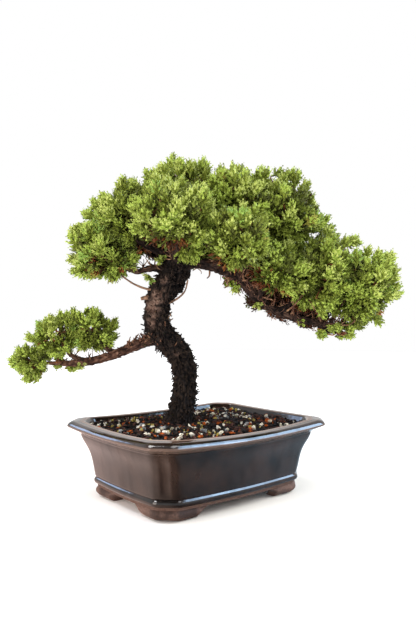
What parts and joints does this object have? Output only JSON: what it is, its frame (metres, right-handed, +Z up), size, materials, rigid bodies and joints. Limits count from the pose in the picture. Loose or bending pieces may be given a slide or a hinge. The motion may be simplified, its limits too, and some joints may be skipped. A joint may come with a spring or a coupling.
{
  "type": "bonsai tree",
  "caption": "Juniper bonsai with a curved trunk, rounded pads of dense foliage and a low side bough, planted in soil in a dark glazed rectangular pot on bracket feet.",
  "frame": {"origin": "on the ground under the feet, below the middle of the whole part's box", "axes": "+Z up, +X along the pot's long side, +Y along its short side, away from the front"},
  "size_m": [0.4006, 0.3556, 0.4076],
  "materials": {
    "glaze": "gloss",
    "foot_clay": "matte",
    "soil": "matte",
    "bark": "matte",
    "twig_bark": "matte",
    "needles": "matte"
  },
  "bodies": {
    "root": {"bough_back": "bark", "bough_front": "bark", "bough_left": "bark", "bough_left_back": "bark", "bough_left_top": "bark", "bough_low_left": "bark", "bough_low_left_inner": "bark", "bough_low_left_middle": "bark", "bough_right": "bark", "bough_right_back": "bark", "bough_right_front": "bark", "bough_right_low": "bark", "bough_right_middle": "bark", "bough_right_top": "bark", "bough_tail_back": "bark", "bough_tail_inner": "bark", "bough_tail_under": "bark", "foliage_back": "needles", "foliage_front": "needles", "foliage_left_back": "needles", "foliage_left_low": "needles", "foliage_left_top": "needles", "foliage_low_left_inner": "needles", "foliage_low_left_middle": "needles", "foliage_low_left_outer": "needles", "foliage_right_back": "needles", "foliage_right_front": "needles", "foliage_right_low": "needles", "foliage_right_middle": "needles", "foliage_right_top": "needles", "foliage_tail_back": "needles", "foliage_tail_inner": "needles", "foliage_tail_tip": "needles", "foliage_tail_under": "needles", "foliage_top": "needles", "foot_back_left": "foot_clay", "foot_back_right": "foot_clay", "foot_front_left": "foot_clay", "foot_front_right": "foot_clay", "pot": "glaze", "snag_left": "twig_bark", "soil": "soil", "trunk": "bark", "twig_left_long": "twig_bark", "twig_left_short": "twig_bark", "twig_right": "twig_bark"}
  },
  "joints": []
}
